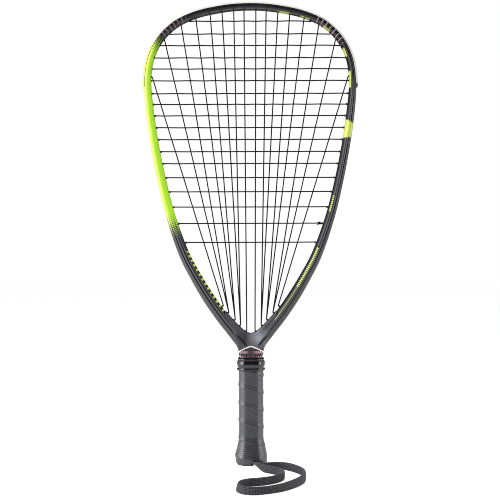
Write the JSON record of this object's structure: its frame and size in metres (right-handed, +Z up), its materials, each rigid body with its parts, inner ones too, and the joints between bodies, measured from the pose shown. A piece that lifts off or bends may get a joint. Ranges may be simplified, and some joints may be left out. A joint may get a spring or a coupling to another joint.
{
  "type": "racquetball racket",
  "caption": "Racquetball racket with a teardrop graphite frame, a woven string bed in grommets, a wound grip, a rubber collar and a flat wrist cord.",
  "frame": {"origin": "centre of the butt's flat bottom, which the racket stands on", "axes": "+Z up along the handle to the top of the head, +X to the right across the string bed as the picture shows it, -Y out of the string bed towards the viewer"},
  "size_m": [0.2596, 0.1759, 0.5588],
  "materials": {
    "graphite": "satin moulded graphite with a painted band",
    "bumper": "translucent pale nylon",
    "nylon": "satin black nylon",
    "string": "satin monofilament",
    "pallet": "matt moulded foam",
    "butt_plastic": "matt moulded plastic",
    "grip_rubber": "embossed matt rubber",
    "collar_rubber": "glossy rubber",
    "tape": "matt tape",
    "steel": "plated steel",
    "webbing": "woven nylon webbing"
  },
  "bodies": {
    "root": {"frame": "graphite", "bumper_guard": "bumper", "grommet_strip_left": "nylon", "grommet_strip_right": "nylon", "throat_grommet_left_1": "nylon", "throat_grommet_left_2": "nylon", "throat_grommet_left_3": "nylon", "throat_grommet_left_4": "nylon", "throat_grommet_left_5": "nylon", "throat_grommet_right_1": "nylon", "throat_grommet_right_2": "nylon", "throat_grommet_right_3": "nylon", "throat_grommet_right_4": "nylon", "throat_grommet_right_5": "nylon", "main_string": "string", "cross_string": "string", "pallet_front": "pallet", "pallet_back": "pallet", "butt_cap": "butt_plastic", "butt_cap_screw_left": "steel", "butt_cap_screw_right": "steel", "grip_wrap": "grip_rubber", "finishing_tape": "tape", "grip_collar": "collar_rubber", "wrist_cord": "webbing", "wrist_cord_knot": "webbing"}
  },
  "joints": []
}
